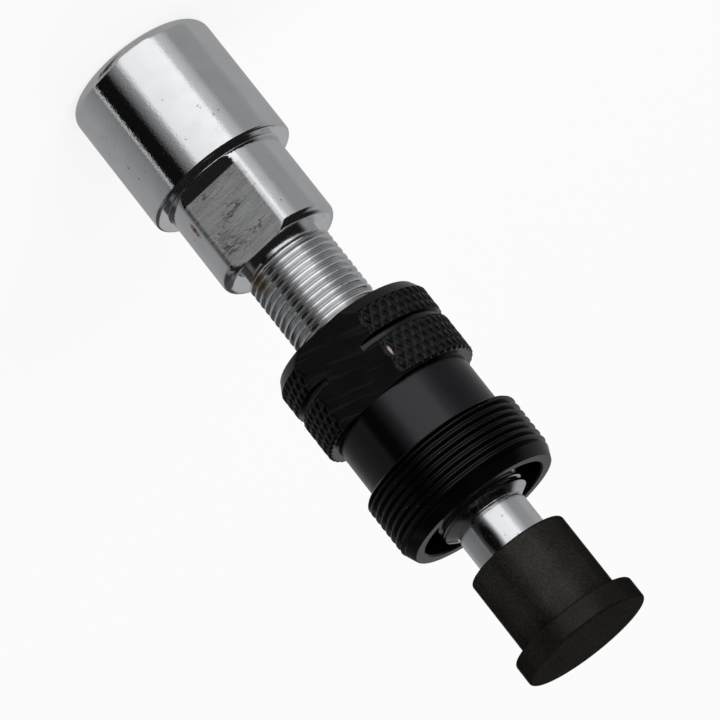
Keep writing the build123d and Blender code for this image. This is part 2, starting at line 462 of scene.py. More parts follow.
def add_screw(shell):
    relief_start = (SCREW_RELIEF_RADIUS, NECK_END + EDGE_TINY)
    # Grime with painted shade in the relief
    shell.profile(run(relief_start, (SCREW_RELIEF_RADIUS, SCREW_RELIEF_END), step=0.3), grime_and_shade=0.5)

    def limit(height):
        """A small step and a chamfer of 45 degrees at the start."""
        start = SCREW_RELIEF_RADIUS + SCREW_START_STEP
        return np.minimum(SCREW_RADIUS, start + (height - SCREW_RELIEF_END))

    def fade(made, left):
        """The depth grows over the first 0.8 turn and fades over the last half turn."""
        return smooth(0.0, 0.8, made) * smooth(0.1, 0.5, left)

    for height in (SCREW_RELIEF_END + EDGE_SMALL, SCREW_THREAD_START - EDGE_SHORT):
        shell.ring(limit(height), height)
    shell.thread(
        SCREW_THREAD_START,
        SCREW_TURNS,
        SCREW_RADIUS,
        SCREW_THREAD_DEPTH,
        SCREW_THREAD_CREST,
        SCREW_THREAD_PHASES,
        limit,
        fade,
        crest_mark=0.0,
    )
    cone_start = (SCREW_RADIUS - EDGE_SMALL, SCREW_CONE_START + EDGE_SLIM)
    shell.profile(run(cone_start, (SCREW_CONE_RADIUS, SCREW_END - EDGE_TINY), step=0.25))
    face_start = (SCREW_CONE_RADIUS - EDGE_SLIM, SCREW_END)
    shell.profile(run(face_start, (PIN_UNDERCUT_RADIUS, SCREW_END), step=0.3))


def add_pin(shell):
    undercut_start = (PIN_UNDERCUT_RADIUS, SCREW_END + EDGE_SLIM)
    # Grime with painted shade in the undercut
    shell.profile(run(undercut_start, (PIN_UNDERCUT_RADIUS, PIN_UNDERCUT_END), step=0.2), grime_and_shade=0.9)
    edge = PIN_RADIUS - EDGE_SMALL
    shell.ring(edge, PIN_UNDERCUT_END + EDGE_TINY)
    low = RING_HEIGHT - RING_GROOVE_HALF_WIDTH
    high = RING_HEIGHT + RING_GROOVE_HALF_WIDTH
    side_start = PIN_UNDERCUT_END + EDGE_TINY + EDGE_SMALL
    shell.profile(run((PIN_RADIUS, side_start), (PIN_RADIUS, low - EDGE_SMALL), step=0.8))
    groove = RING_GROOVE_RADIUS
    shell.profile(run((edge, low), (groove, low), step=0.5))
    shell.profile(run((groove, low + EDGE_SLIM), (groove, high - EDGE_SLIM), step=0.5))
    shell.profile(run((groove, high), (edge, high), step=0.5))
    side_end = PIN_END - PIN_END_RADIUS
    shell.profile(run((PIN_RADIUS, high + EDGE_SMALL), (PIN_RADIUS, side_end), step=0.8))
    shell.profile(arc(PIN_RADIUS - PIN_END_RADIUS, side_end, PIN_END_RADIUS, 15, 90, steps=5))
    for share in (0.6, 0.25):
        shell.ring(PIN_RADIUS * share, PIN_END)
    shell.pole(PIN_END)


def build_body():
    shell = Shell(even_angles(KNURL_COUNT * KNURL_COLUMNS, TURN / 2))
    add_collar(shell)
    add_waist_and_thread(shell)
    add_mouth(shell)
    return shell.piece("puller_body_look", sharp_degrees=40)


def knurl(angles, height):
    """Depth of the diamond knurl: two crossed sets of V-grooves."""
    around = angles * KNURL_COUNT / TURN
    along = height / KNURL_LENGTH
    grooves = []
    for lean in (along, -along):
        phase = np.mod(around + lean, 1.0)
        from_groove = np.minimum(phase, 1 - phase)
        grooves.append(np.clip(1 - from_groove / KNURL_GROOVE, 0, 1))
    return KNURL_DEPTH * np.maximum(*grooves)


def add_collar(shell):
    """Face towards the head, chamfer, band, groove, band and rounded foot, with flats across them."""
    flats = shell.flats(COLLAR_HALF_FLATS)

    def collar_ring(radius, height):
        radii = np.broadcast_to(np.asarray(radius, float), flats.shape)
        shell.ring(np.minimum(radii, flats), height, MILLED_MARK * (flats < radii))

    def band(start, end):
        rows = max(2, round((end - start) / (KNURL_LENGTH / KNURL_ROWS)))
        for height in np.linspace(start + EDGE_SLIM, end - EDGE_SLIM, rows + 1):
            collar_ring(COLLAR_RADIUS - knurl(shell.angles, height), height)

    bore_mouth = SCREW_BORE_RADIUS + SCREW_BORE_CHAMFER
    face = np.minimum(COLLAR_TOP_RADIUS - COLLAR_TOP_BEVEL, flats)
    for share in (0.0, 0.1, 0.5, 0.9, 1.0):
        shell.ring(bore_mouth + share * (face - bore_mouth), COLLAR_TOP)
    chamfer_start = (COLLAR_TOP_RADIUS, COLLAR_TOP + COLLAR_TOP_BEVEL)
    for radius, height in run(chamfer_start, (COLLAR_RADIUS, UPPER_BAND_START), step=0.3):
        collar_ring(radius, height)
    band(UPPER_BAND_START, UPPER_BAND_END)
    edge = COLLAR_RADIUS - EDGE_WIDE
    root = COLLAR_RADIUS - GROOVE_DEPTH + GROOVE_ROOT_RADIUS
    low = UPPER_BAND_END + GROOVE_WALL_LEAN
    high = LOWER_BAND_START - GROOVE_WALL_LEAN
    groove = run((edge, UPPER_BAND_END), (root + EDGE_TINY, low), step=0.25)
    groove += arc(root, low + GROOVE_ROOT_RADIUS, GROOVE_ROOT_RADIUS, 270, 180, steps=4)
    groove += arc(root, high - GROOVE_ROOT_RADIUS, GROOVE_ROOT_RADIUS, 180, 90, steps=4)
    groove += run((root + EDGE_TINY, high), (edge, LOWER_BAND_START), step=0.25)
    for radius, height in groove:
        collar_ring(radius, height)
    band(LOWER_BAND_START, LOWER_BAND_END)
    foot = COLLAR_RADIUS - COLLAR_FOOT_RADIUS
    for radius, height in arc(foot, LOWER_BAND_END, COLLAR_FOOT_RADIUS, 0, 85, steps=6):
        collar_ring(radius - knurl(shell.angles, height), height)
    end_radii = np.minimum(foot - EDGE_TINY - knurl(shell.angles, COLLAR_END), flats)
    for share in (1.0, 0.85, 0.5, 0.05):
        shell.ring(WAIST_RADIUS + share * (end_radii - WAIST_RADIUS), COLLAR_END)


def add_waist_and_thread(shell):
    waist_start = (WAIST_RADIUS, COLLAR_END + EDGE_SLIM)
    shell.profile(run(waist_start, (WAIST_RADIUS, WAIST_END - EDGE_WIDE), step=0.5))
    face = WAIST_END - EDGE_HAIR
    chamfer_start = CRANK_THREAD_RADIUS - CRANK_THREAD_START_CHAMFER
    shell.profile(run((WAIST_RADIUS + EDGE_WIDE, face), (chamfer_start - EDGE_TINY, face), step=0.4))
    lead_slope = (CRANK_THREAD_RADIUS - RIM_RADIUS) / (BODY_END - LEAD_CHAMFER_START)

    def limit(height):
        """A chamfer of 45 degrees at the start and the longer lead chamfer at the end."""
        start = chamfer_start + (height - WAIST_END)
        lead = CRANK_THREAD_RADIUS - lead_slope * (height - LEAD_CHAMFER_START)
        return np.minimum(CRANK_THREAD_RADIUS, np.minimum(start, lead))

    def fade(made, left):
        """The depth grows over the first 0.3 turn and fades over the last 1.3 turns."""
        return smooth(0.0, 0.3, made) * smooth(0.0, 1.3, left)

    shell.thread(
        WAIST_END,
        CRANK_TURNS,
        CRANK_THREAD_RADIUS,
        CRANK_THREAD_DEPTH,
        CRANK_THREAD_CREST,
        CRANK_THREAD_PHASES,
        limit,
        fade,
        crest_mark=WORN_MARK,
    )
    for height in (CRANK_THREAD_END + LEAD_FIRST_ROW, BODY_END - RIM_EDGE_RADIUS - EDGE_TINY):
        shell.ring(limit(height), height)


def add_mouth(shell):
    """Rim, mouth and screw bore. The skin then closes at the collar's face."""
    rim = RIM_RADIUS - RIM_EDGE_RADIUS
    shell.profile(arc(rim, BODY_END - RIM_EDGE_RADIUS, RIM_EDGE_RADIUS, 20, 90, steps=3))
    edge = MOUTH_RADIUS + MOUTH_EDGE_CHAMFER
    shell.profile(run((rim - EDGE_TINY, BODY_END), (edge, BODY_END), step=0.4))
    side_start = BODY_END - MOUTH_EDGE_CHAMFER
    shell.profile(run((MOUTH_RADIUS, side_start), (MOUTH_RADIUS, MOUTH_FLOOR + EDGE_SHORT), step=0.9))
    bore_mouth = SCREW_BORE_RADIUS + SCREW_BORE_CHAMFER
    shell.profile(run((MOUTH_RADIUS - EDGE_SHORT, MOUTH_FLOOR), (bore_mouth, MOUTH_FLOOR), step=0.6))
    bore_start = (SCREW_BORE_RADIUS, MOUTH_FLOOR - SCREW_BORE_CHAMFER)
    bore_end = (SCREW_BORE_RADIUS, COLLAR_TOP + SCREW_BORE_CHAMFER)
    shell.profile(run(bore_start, bore_end, step=2.5))
    shell.close()


def build_cap():
    shell = Shell(even_angles(CAP_COLUMNS))

    # Bore, from the middle of its floor to the lead-in
    shell.pole(CAP_FLOOR)
    shell.ring(CAP_FLOOR_MID_RADIUS, CAP_FLOOR)
    shell.ring(CAP_BORE_RADIUS - CAP_BORE_CORNER, CAP_FLOOR)
    shell.ring(CAP_BORE_RADIUS, CAP_FLOOR - CAP_BORE_CORNER)
    bore_start = (CAP_BORE_RADIUS, CAP_FLOOR - CAP_BORE_CORNER - 2 * EDGE_WIDE)
    shell.profile(run(bore_start, (CAP_BORE_RADIUS, CAP_START + CAP_BORE_LEAD_IN), step=1.0))
    lead_in = CAP_BORE_RADIUS + CAP_BORE_LEAD_IN
    shell.ring(lead_in, CAP_START)

    # Sleeve
    edge = CAP_RADIUS - CAP_EDGE_RADIUS
    shell.profile(run((lead_in + EDGE_SHORT, CAP_START), (edge - EDGE_TINY, CAP_START), step=0.4))
    shell.profile(arc(edge, CAP_START + CAP_EDGE_RADIUS, CAP_EDGE_RADIUS, -90, 0, steps=6))
    side_start = (CAP_RADIUS, CAP_START + CAP_EDGE_RADIUS + EDGE_SHORT)
    side_end = (CAP_RADIUS, FLANGE_START - CAP_FILLET - EDGE_SHORT)
    shell.profile(run(side_start, side_end, step=0.5))
    root = CAP_RADIUS + CAP_FILLET
    shell.profile(arc(root, FLANGE_START - CAP_FILLET, CAP_FILLET, 180, 95, steps=4))

    # Flange and end face
    edge = FLANGE_RADIUS - FLANGE_EDGE_RADIUS
    shell.profile(run((root + EDGE_TINY, FLANGE_START), (edge - EDGE_TINY, FLANGE_START), step=0.4))
    low = FLANGE_START + FLANGE_EDGE_RADIUS
    high = CAP_END - FLANGE_EDGE_RADIUS
    shell.profile(arc(edge, low, FLANGE_EDGE_RADIUS, -90, 0, steps=6))
    shell.profile(run((FLANGE_RADIUS, low + EDGE_SHORT), (FLANGE_RADIUS, high - EDGE_SHORT), step=0.4))
    shell.profile(arc(edge, high, FLANGE_EDGE_RADIUS, 0, 90, steps=6))
    shell.profile(run((edge - EDGE_TINY, CAP_END), (CAP_END_MID_RADIUS, CAP_END), step=0.7))
    shell.pole(CAP_END)
    return shell.piece("pusher_cap_look", sharp_degrees=40)


def build_ring():
    shell = Shell(even_angles(RING_COLUMNS))
    inner = RING_INNER_RADIUS + RING_EDGE_RADIUS
    outer = RING_OUTER_RADIUS - RING_EDGE_RADIUS
    low = RING_HEIGHT - RING_SECTION / 2 + RING_EDGE_RADIUS
    high = RING_HEIGHT + RING_SECTION / 2 - RING_EDGE_RADIUS
    corners = ((inner, low, 180), (outer, low, 270), (outer, high, 0), (inner, high, 90))
    for radius, height, first in corners:
        shell.profile(arc(radius, height, RING_EDGE_RADIUS, first, first + 90, steps=4))
    shell.close()
    return shell.piece("retaining_ring_look", sharp_degrees=60)


# Colours of the finishes, linear, with alpha
CHROME_CLEAR = (0.80, 0.805, 0.81, 1)
CHROME_CLOUDED = (0.75, 0.755, 0.765, 1)
GROUND_DARK = (0.66, 0.66, 0.66, 1)
GROUND_LIGHT = (0.74, 0.74, 0.74, 1)
PIT = (0.06, 0.055, 0.05, 1)
# Grime, also painted shade in the thread's roots, the relief and the undercut
GRIME_AND_SHADE = (0.035, 0.031, 0.027, 1)
OIL = (0.30, 0.215, 0.095, 1)
RUST = (0.34, 0.13, 0.06, 1)
# Grease, whose dark colour also paints the dark reflection band on the pin
GREASE_AND_DARK_REFLECTION = (0.018, 0.017, 0.016, 1)
BLACK_DEEP = (0.0005, 0.0005, 0.0006, 1)
BLACK_CLOUDED = (0.0010, 0.0010, 0.0012, 1)
BLACK_STREAK = (0.006, 0.006, 0.0064, 1)
BLACK_TURNED = (0.042, 0.042, 0.045, 1)
WORN_CREST = (0.10, 0.095, 0.088, 1)
BRIGHT_NICK = (0.42, 0.34, 0.30, 1)
OXIDE_DARK = (0.033, 0.030, 0.0255, 1)
OXIDE_LIGHT = (0.041, 0.039, 0.035, 1)
# Colour of the pores, and of the painted shade on the flange
OXIDE_PORE_AND_SHADE = (0.012, 0.0112, 0.010, 1)
OXIDE_EDGE_TINT = (0.26, 0.25, 0.23, 1)
RUBBER_DARK = (0.016, 0.016, 0.016, 1)
RUBBER_LIGHT = (0.026, 0.026, 0.026, 1)

# Single marks that the photograph shows: the middle, and the reach along each axis, in millimetres
SCUFF_BY_SCREW = ((2.7, -6.9, 27.6), (2.6, 1.0, 1.6))
SCUFF_BY_SHOULDER = ((1.8, -6.9, 20.7), (2.4, 1.0, 0.5))
CRACKS_IN_MIDDLE = ((-0.6, -6.9, 24.4), (3.2, 1.0, 2.3))
CRACKS_BY_SCREW = ((-1.5, -6.9, 27.8), (2.4, 1.0, 1.2))
OIL_STAIN = ((3.5, -5.0, 32.8), (1.7, 2.2, 2.5))
RUST_STREAK = ((5.2, -6.4, 22.9), (0.55, 0.55, 1.5))
# Grease along the pin, which is also a painted dark reflection band
GREASE_SMEAR_AND_DARK_REFLECTION = ((0.35, -4.8, 75.8), (1.5, 1.0, 5.5))
DRY_PLACE = ((3.3, -4.2, 72.1), (3.2, 3.2, 1.2))
KNURL_NICK = ((-5.45, -9.4, 51.5), (0.24, 0.5, 0.95))

# Lean of the milling streaks on the collar's flats
MILLING_LEAN = math.radians(-19)

# Depths of the fine relief, in metres
PEEL_DEPTH = 0.000011
GRINDING_DEPTH = 0.000003
TURNING_DEPTH = 0.000010
PIT_DEPTH = 0.00002
BLACK_RELIEF_DEPTH = 0.000016
OXIDE_RELIEF_DEPTH = 0.000018
RUBBER_RELIEF_DEPTH = 0.00002

# A place between two heights fades out over this distance beyond them, in millimetres.
BETWEEN_FADE = 0.1

# Patterns: roughness of the noise, scale of the noise that warps, and the shares of a vein's width and of
# a mark's reach that have the full value
NOISE_ROUGHNESS = 0.55
WARP_SCALE = 3.0
VEIN_CORE = 0.2
NEAR_CORE = 0.3


class Nodes:
    """A node tree. Its methods add nodes and return the output to use next."""

    def __init__(self, tree):
        self.tree = tree

    def node(self, kind, **settings):
        node = self.tree.nodes.new(kind)
        for key, value in settings.items():
            setattr(node, key, value)
        return node

    def feed(self, socket, value):
        """Links an output to the socket, or sets the socket to a constant."""
        if isinstance(value, bpy.types.NodeSocket):
            self.tree.links.new(value, socket)
        else:
            socket.default_value = value

    def math(self, operation, first, second=0.0):
        node = self.node("ShaderNodeMath", operation=operation)
        self.feed(node.inputs[0], first)
        self.feed(node.inputs[1], second)
        return node.outputs[0]

    def times(self, first, second):
        return self.math("MULTIPLY", first, second)

    def most(self, first, *others):
        """The largest of several values."""
        for other in others:
            first = self.math("MAXIMUM", first, other)
        return first

    def remap(self, value, low, high, to_low=0.0, to_high=1.0):
        """Soft step from to_low, where the value is low, to to_high, where it is high."""
        node = self.node("ShaderNodeMapRange", interpolation_type="SMOOTHSTEP")
        self.feed(node.inputs["Value"], value)
        node.inputs["From Min"].default_value = low
        node.inputs["From Max"].default_value = high
        node.inputs["To Min"].default_value = to_low
        node.inputs["To Max"].default_value = to_high
        return node.outputs["Result"]

    def mix(self, share, first, second):
        """Blends two colours."""
        return self.mixed("RGBA", share, first, second)

    def blend(self, share, first, second):
        """Blends two numbers."""
        return self.mixed("FLOAT", share, first, second)

    def mixed(self, kind, share, first, second):
        node = self.node("ShaderNodeMix", data_type=kind)
        for name, value in (("Factor", share), ("A", first), ("B", second)):
            self.feed(node.inputs[name], value)
        return node.outputs["Result"]


class Finish(Nodes):
    """A node material, with patterns in the coordinates of its piece."""

    def __init__(self, name):
        self.material = bpy.data.materials.new(name)
        self.material.use_nodes = True
        super().__init__(self.material.node_tree)
        self.shader = self.tree.nodes["Principled BSDF"]
        self.place = self.node("ShaderNodeTexCoord").outputs["Object"]

    def set(self, **values):
        """Sets sockets of the shader, by their names with _ for a space."""
        for key, value in values.items():
            self.feed(self.shader.inputs[key.replace("_", " ")], value)

    def stretched(self, x, y, z, lean=0.0):
        """Object coordinates with a scale for each axis, in features per metre, after a lean about Y."""
        turned = self.node("ShaderNodeVectorRotate", rotation_type="Y_AXIS")
        self.feed(turned.inputs["Vector"], self.place)
        turned.inputs["Angle"].default_value = lean
        node = self.node("ShaderNodeMapping")
        self.feed(node.inputs["Vector"], turned.outputs["Vector"])
        node.inputs["Scale"].default_value = (x, y, z)
        return node.outputs["Vector"]

    def between(self, low, high):
        """1 between two heights in millimetres, 0 beyond them."""
        parts = self.node("ShaderNodeSeparateXYZ")
        self.feed(parts.inputs["Vector"], self.place)
        height = parts.outputs["Z"]
        rises = self.remap(height, (low - BETWEEN_FADE) * MM, low * MM)
        return self.times(rises, self.remap(height, (high + BETWEEN_FADE) * MM, high * MM))

    def noise(self, vector, detail=3.0):
        node = self.node("ShaderNodeTexNoise")
        self.feed(node.inputs["Vector"], vector)
        node.inputs["Scale"].default_value = 1.0
        node.inputs["Detail"].default_value = detail
        node.inputs["Roughness"].default_value = NOISE_ROUGHNESS
        return node.outputs["Fac"]

    def even_noise(self, scale, detail=3.0):
        """Noise with one scale along all axes, in features per metre."""
        return self.noise(self.stretched(scale, scale, scale), detail)

    def warped(self, vector, amount):
        """Coordinates that a finer noise moves about, for ragged outlines."""
        noise = self.node("ShaderNodeTexNoise")
        self.feed(noise.inputs["Vector"], vector)
        noise.inputs["Scale"].default_value = WARP_SCALE
        moved = self.node("ShaderNodeVectorMath", operation="MULTIPLY_ADD")
        self.feed(moved.inputs[0], noise.outputs["Color"])
        moved.inputs[1].default_value = (amount, amount, amount)
        self.feed(moved.inputs[2], vector)
        return moved.outputs["Vector"]

    def veins(self, vector, width):
        """Thin meandering lines, where a noise passes its middle."""
        offset = self.math("ABSOLUTE", self.math("SUBTRACT", self.noise(vector), 0.5))
        return self.remap(offset, width, width * VEIN_CORE)

    def cells(self, vector):
        """Distance to the nearest of scattered points."""
        node = self.node("ShaderNodeTexVoronoi")
        self.feed(node.inputs["Vector"], vector)
        node.inputs["Scale"].default_value = 1.0
        return node.outputs["Distance"]

    def attribute(self, name):
        return self.node("ShaderNodeAttribute", attribute_name=name).outputs["Fac"]

    def near(self, point, reach):
        """1 at a point, falling to 0 at its reach along each axis. Both are in millimetres."""
        moved = self.node("ShaderNodeVectorMath", operation="SUBTRACT")
        self.feed(moved.inputs[0], self.place)
        moved.inputs[1].default_value = [value * MM for value in point]
        scaled = self.node("ShaderNodeVectorMath", operation="DIVIDE")
        self.feed(scaled.inputs[0], moved.outputs["Vector"])
        scaled.inputs[1].default_value = [value * MM for value in reach]
        length = self.node("ShaderNodeVectorMath", operation="LENGTH")
        self.feed(length.inputs[0], scaled.outputs["Vector"])
        return self.remap(length.outputs["Value"], 1.0, NEAR_CORE)

    def bump(self, height, depth, normal=None):
        node = self.node("ShaderNodeBump")
        node.inputs["Strength"].default_value = 1.0
        node.inputs["Distance"].default_value = depth
        self.feed(node.inputs["Height"], height)
        if normal is not None:
            self.feed(node.inputs["Normal"], normal)
        return node.outputs["Normal"]


def chrome_finish():
    finish = Finish("chrome_plate")
    clouds = finish.even_noise(350)
    grain = finish.even_noise(4600, detail=4.0)
    peel = finish.even_noise(3300, detail=2.0)
    flat = finish.attribute("mark")
    threaded = finish.between(SCREW_RELIEF_END, SCREW_CONE_START)
    pin = finish.between(PIN_UNDERCUT_END, PIN_END)
    turning = finish.noise(finish.stretched(90, 90, 7000), detail=2.0)

    # Specks where the plating has gone
    spots = finish.cells(finish.warped(finish.stretched(700, 700, 700), 0.6))
    specks = finish.times(finish.remap(spots, 0.18, 0.04, 0.0, 0.75), finish.remap(clouds, 0.50, 0.64))

    # Wrench flats: fine grinding lines along X, two dark scuffs, and cracks that are denser in a few places
    lines = finish.noise(finish.stretched(260, 4000, 4000))
    scuffed = finish.most(finish.near(*SCUFF_BY_SCREW), finish.near(*SCUFF_BY_SHOULDER))
    cracked = finish.most(scuffed, finish.near(*CRACKS_IN_MIDDLE), finish.near(*CRACKS_BY_SCREW))
    scuffs = finish.times(finish.remap(lines, 0.53, 0.66), scuffed)
    cracks = finish.veins(finish.warped(finish.stretched(270, 800, 1050), 0.4), 0.036)
    cracks = finish.times(cracks, finish.most(finish.remap(clouds, 0.45, 0.6, 0.15, 0.5), cracked))
    scuffs = finish.times(finish.most(scuffs, cracks), finish.remap(flat, 0.8, 1.0))

    # Grime with painted shade in the thread's roots, the relief and the undercut, an oil stain on the first
    # turns, a short rust streak, a smear of grease along the pin that also paints its dark reflection band,
    # and a dry, dull place beside it on the screw's end
    grime_and_shade = finish.times(finish.attribute("grime_and_shade"), finish.remap(clouds, 0.2, 0.5, 0.1, 0.3))
    stain = finish.times(finish.near(*OIL_STAIN), finish.remap(grain, 0.25, 0.5))
    rust = finish.times(finish.near(*RUST_STREAK), finish.remap(grain, 0.36, 0.5))
    grease_and_dark_reflection = finish.times(finish.near(*GREASE_SMEAR_AND_DARK_REFLECTION), finish.remap(grain, 0.22, 0.4))
    dry = finish.near(*DRY_PLACE)

    colour = finish.mix(finish.remap(clouds, 0.35, 0.7), CHROME_CLEAR, CHROME_CLOUDED)
    ground = finish.mix(finish.remap(lines, 0.3, 0.7), GROUND_DARK, GROUND_LIGHT)
    colour = finish.mix(flat, colour, ground)
    colour = finish.mix(grime_and_shade, colour, GRIME_AND_SHADE)
    colour = finish.mix(finish.times(stain, 0.9), colour, OIL)
    colour = finish.mix(rust, colour, RUST)
    # The grease smear is also a painted dark reflection on the pin
    colour = finish.mix(grease_and_dark_reflection, colour, GREASE_AND_DARK_REFLECTION)
    worn = finish.most(specks, finish.times(scuffs, 0.75))
    colour = finish.mix(worn, colour, PIT)
    finish.set(Base_Color=colour, Metallic=1.0)

    plated = finish.remap(grain, 0.3, 0.8, 0.04, 0.08)
    rough = finish.blend(flat, plated, finish.remap(lines, 0.3, 0.7, 0.26, 0.36))
    rough = finish.blend(threaded, rough, 0.15)
    rough = finish.blend(pin, rough, 0.17)
    rough = finish.blend(dry, rough, 0.6)
    dull = finish.most(specks, rust, grime_and_shade, stain, grease_and_dark_reflection)
    finish.set(Roughness=finish.blend(dull, rough, 0.5))

    normal = finish.bump(peel, PEEL_DEPTH)
    normal = finish.bump(finish.times(lines, flat), GRINDING_DEPTH, normal)
    normal = finish.bump(finish.times(turning, threaded), TURNING_DEPTH, normal)
    finish.set(Normal=finish.bump(finish.times(worn, -1.0), PIT_DEPTH, normal))
    return finish.material


def black_finish():
    finish = Finish("black_steel")
    clouds = finish.even_noise(400)
    grain = finish.even_noise(5000)
    turning = finish.noise(finish.stretched(60, 60, 9000), detail=2.0)
    milling = finish.noise(finish.stretched(130, 130, 1700, MILLING_LEAN), detail=4.0)
    mark = finish.attribute("mark")
    flat = finish.times(finish.remap(mark, 0.3, 0.45), finish.remap(mark, 0.7, 0.55))
    turned = finish.most(
        finish.between(COLLAR_END, WAIST_END),
        finish.between(UPPER_BAND_END, LOWER_BAND_START),
    )
    turned = finish.times(turned, finish.math("SUBTRACT", 1.0, flat))

    # Milling streaks on the flats, brighter metal on worn crests of the thread and at one corner of the
    # knurl, and bare turned metal on the waist and in the groove
    streaks = finish.times(flat, finish.remap(milling, 0.5, 0.72))
    worn = finish.times(finish.remap(mark, 0.7, 1.0), finish.remap(grain, 0.64, 0.76))
    nick = finish.times(finish.near(*KNURL_NICK), finish.remap(grain, 0.3, 0.5))
    colour = finish.mix(finish.remap(clouds, 0.3, 0.7), BLACK_DEEP, BLACK_CLOUDED)
    colour = finish.mix(streaks, colour, BLACK_STREAK)
    colour = finish.mix(worn, colour, WORN_CREST)
    colour = finish.mix(nick, colour, BRIGHT_NICK)
    colour = finish.mix(turned, colour, BLACK_TURNED)
    finish.set(Base_Color=colour, Metallic=turned, IOR=1.34)
    finish.set(Roughness=finish.blend(turned, finish.remap(clouds, 0.3, 0.7, 0.20, 0.26), 0.22))
    relief = finish.math("ADD", finish.times(turning, 0.6), finish.times(grain, 0.4))
    relief = finish.blend(flat, relief, milling)
    finish.set(Normal=finish.bump(relief, BLACK_RELIEF_DEPTH))
    return finish.material


def oxide_finish():
    finish = Finish("oxide_steel")
    clouds = finish.even_noise(300)
    grain = finish.even_noise(3800)
    turning = finish.noise(finish.stretched(60, 60, 6500), detail=2.0)
    colour = finish.mix(finish.remap(clouds, 0.3, 0.7), OXIDE_DARK, OXIDE_LIGHT)
    colour = finish.mix(finish.remap(grain, 0.62, 0.38, 0.0, 0.5), colour, OXIDE_PORE_AND_SHADE)
    # The flange is painted a little darker than the sleeve, as painted shade
    flange_shade = finish.between(FLANGE_START, CAP_END)
    colour = finish.mix(finish.times(flange_shade, 0.4), colour, OXIDE_PORE_AND_SHADE)
    finish.set(Base_Color=colour, Metallic=0.7, Specular_IOR_Level=0.0, Specular_Tint=OXIDE_EDGE_TINT)
    finish.set(Roughness=finish.remap(grain, 0.3, 0.7, 0.20, 0.30))
    relief = finish.math("ADD", finish.times(turning, 0.5), finish.times(grain, 0.5))
    finish.set(Normal=finish.bump(relief, OXIDE_RELIEF_DEPTH))
    return finish.material


def rubber_finish():
    finish = Finish("ring_rubber")
    clouds = finish.even_noise(900)
    colour = finish.mix(finish.remap(clouds, 0.3, 0.7), RUBBER_DARK, RUBBER_LIGHT)
    finish.set(Base_Color=colour, Metallic=0.0, Roughness=finish.remap(clouds, 0.3, 0.7, 0.55, 0.7))
    finish.set(Normal=finish.bump(clouds, RUBBER_RELIEF_DEPTH))
    return finish.material


def dress(piece, material, node, body):
    piece.data.materials.append(material)
    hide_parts(node)
    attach(piece, body)


def camera_axes():
    """Right, up and back of the camera before it is rolled."""
    a, e = CAMERA_AZIMUTH, CAMERA_ELEVATION
    right = Vector((math.cos(a), math.sin(a), 0))
    back = Vector((math.sin(a) * math.cos(e), -math.cos(a) * math.cos(e), math.sin(e)))
    return right, back.cross(right), back


def add_camera():
    right, up, back = camera_axes()
    turn = CAMERA_ROLL
    x = math.cos(turn) * right + math.sin(turn) * up
    y = math.cos(turn) * up - math.sin(turn) * right
    target = Vector((0, 0, TARGET_HEIGHT)) + TARGET_RIGHT * right
    data = bpy.data.cameras.new("photo_camera")
    data.sensor_width = SENSOR_WIDTH
    data.lens = FOCAL_PIXELS * SENSOR_WIDTH / IMAGE_PIXELS
    data.clip_start = CLIP_START
    data.clip_end = CLIP_END
    camera = bpy.data.objects.new("photo_camera", data)
    place = Matrix.Translation((target + CAMERA_DISTANCE * back) * MM)
    camera.matrix_world = place @ Matrix((x, y, back)).transposed().to_4x4()
    bpy.context.scene.collection.objects.link(camera)
    bpy.context.scene.camera = camera


# What the metal mirrors round the tool: angle from the camera's side, positive to the picture's right,
# and brightness
STUDIO = (
    (-180, 0.34),
    (-110, 0.35),
    (-76, 0.24),
    (-70, 0.20),
    (-67.5, 0.55),
    (-65.5, 0.55),
    (-64, 0.005),
    (-40, 0.005),
    (-21, 0.31),
    (-12, 0.97),
    (14, 1.03),
    (42, 1.11),
    (48, 0.62),
    (60, 0.48),
    (68, 0.31),
    (100, 0.31),
    (112, 0.38),
    (180, 0.36),
)
STUDIO_TINT = (0.99, 1.0, 1.02)
BLACK = (0.0, 0.0, 0.0, 1)
WHITE = (1, 1, 1, 1)
WALL = (0.44, 0.44, 0.45, 1)
CEILING = (0.012, 0.012, 0.012, 1)
TABLE = (0.37, 0.37, 0.37, 1)
TABLE_SHADE = (0.04, 0.04, 0.04, 1)
SOFT_LIGHT = (0.55, 0.55, 0.56, 1)

# How dark the strip and the corner are, and how much lower a card of brightness 1 reaches
STRIP_SHARE = 0.45
CORNER_SHARE = 0.8
CARD_REACH = 0.28


